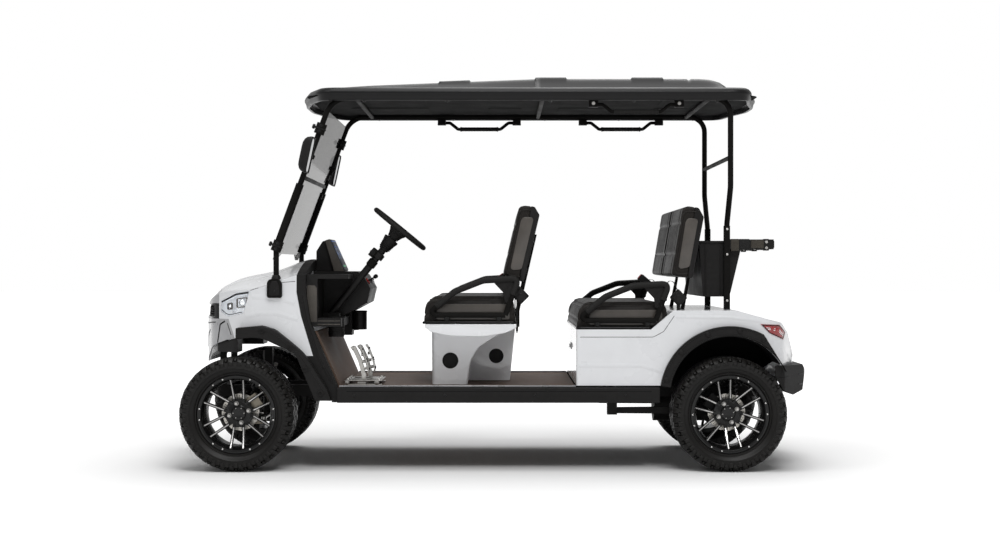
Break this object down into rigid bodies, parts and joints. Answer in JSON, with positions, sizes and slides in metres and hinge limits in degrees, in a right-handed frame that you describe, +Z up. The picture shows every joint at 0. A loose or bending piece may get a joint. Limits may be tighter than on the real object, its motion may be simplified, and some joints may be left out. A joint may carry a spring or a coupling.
{
  "type": "four-seat golf cart",
  "caption": "Open four-seat electric golf cart with roof, fold-down windshield, two forward-facing bench seats and a rear basket with bag rack.",
  "frame": {"origin": "on the ground under the middle of the cart's whole box", "axes": "+X to the rear along the longest side, -Y to the cart's left (driver's) side, +Z up"},
  "size_m": [3.154, 1.478, 1.9929],
  "materials": {
    "black_steel": "satin powder coat",
    "floor_mat": "satin mat",
    "black_plastic": "fine grain",
    "white_body": "gloss",
    "grey_plastic": "satin metallic",
    "lamp_clear": "clear",
    "lamp_red": "clear red",
    "screen": "gloss",
    "pedal_alloy": "brushed",
    "seat_vinyl": "grained vinyl",
    "roof_gloss": "gloss",
    "tinted_glass": "grey tint",
    "battery_case": "matte",
    "wheel_grip": "soft grip",
    "rack_steel": "ground",
    "alloy_black": "gloss black, machined ribs",
    "tyre_rubber": "matte"
  },
  "bodies": {
    "chassis": {"chassis_frame": "black_steel", "roof_frame": "black_steel", "front_suspension": "black_steel", "rear_suspension": "black_steel", "rear_axle": "black_steel", "steering_column": "black_steel", "bag_rack": "black_steel", "front_seat_frame": "black_steel", "rear_seat_frame": "black_steel", "grab_handles": "black_steel", "floor": "floor_mat", "sills": "black_plastic", "cowl_trim": "black_plastic", "front_flares": "black_plastic", "rear_flares": "black_plastic", "rear_liners": "black_plastic", "front_bumper": "black_plastic", "rear_bumper": "black_plastic", "dashboard": "black_plastic", "grille": "black_plastic", "mirrors": "black_plastic", "seat_belts": "black_plastic", "front_cowl": "white_body", "rear_body": "white_body", "front_seat_base": "white_body", "nose_panel": "grey_plastic", "headlamps": "lamp_clear", "tail_lamps": "lamp_red", "display": "screen", "pedals": "pedal_alloy", "front_seat_cushion": "seat_vinyl", "front_backrests": "seat_vinyl", "rear_seat_cushion": "seat_vinyl", "rear_backrests": "seat_vinyl", "roof_canopy": "roof_gloss", "windshield": "tinted_glass", "battery_pack": "battery_case"},
    "steering_wheel": {"steering_wheel": "wheel_grip"},
    "steering_rack": {"steering_rack": "rack_steel"},
    "knuckle_left": {"knuckle_left": "black_steel"},
    "knuckle_right": {"knuckle_right": "black_steel"},
    "wheel_front_left": {"wheel_front_left": "alloy_black", "tyre_front_left": "tyre_rubber"},
    "wheel_front_right": {"wheel_front_right": "alloy_black", "tyre_front_right": "tyre_rubber"},
    "wheel_rear_left": {"wheel_rear_left": "alloy_black", "tyre_rear_left": "tyre_rubber"},
    "wheel_rear_right": {"wheel_rear_right": "alloy_black", "tyre_rear_right": "tyre_rubber"}
  },
  "joints": [
    {"name": "steering_turn", "type": "hinge", "parent": "chassis", "child": "steering_wheel", "pos_m": [-0.493, -0.3, 1.219], "axis": [0.6307, 0, 0.776], "range_deg": [-450, 450]},
    {"name": "knuckle_left_turn", "type": "hinge", "parent": "chassis", "child": "knuckle_left", "pos_m": [-1.291, -0.43, 0.286], "axis": [0, 0, 1], "range_deg": [-30, 30]},
    {"name": "knuckle_right_turn", "type": "hinge", "parent": "chassis", "child": "knuckle_right", "pos_m": [-1.291, 0.43, 0.286], "axis": [0, 0, 1], "range_deg": [-30, 30]},
    {"name": "rack_slide", "type": "slide", "parent": "chassis", "child": "steering_rack", "axis": [0, 1, 0], "range_m": [-0.055, 0.055]},
    {"name": "wheel_front_left_spin", "type": "hinge", "parent": "knuckle_left", "child": "wheel_front_left", "pos_m": [-1.291, -0.52, 0.286], "axis": [0, 1, 0], "continuous": true},
    {"name": "wheel_front_right_spin", "type": "hinge", "parent": "knuckle_right", "child": "wheel_front_right", "pos_m": [-1.291, 0.52, 0.286], "axis": [0, 1, 0], "continuous": true},
    {"name": "wheel_rear_left_spin", "type": "hinge", "parent": "chassis", "child": "wheel_rear_left", "pos_m": [1.173, -0.52, 0.286], "axis": [0, 1, 0], "continuous": true},
    {"name": "wheel_rear_right_spin", "type": "hinge", "parent": "chassis", "child": "wheel_rear_right", "pos_m": [1.173, 0.52, 0.286], "axis": [0, 1, 0], "continuous": true}
  ],
  "couplings": [
    {"joint": "knuckle_left_turn", "follows": "steering_turn", "ratio": 0.066666},
    {"joint": "knuckle_right_turn", "follows": "steering_turn", "ratio": 0.066666},
    {"joint": "rack_slide", "follows": "steering_turn", "m_per_rad": 0.007002}
  ]
}
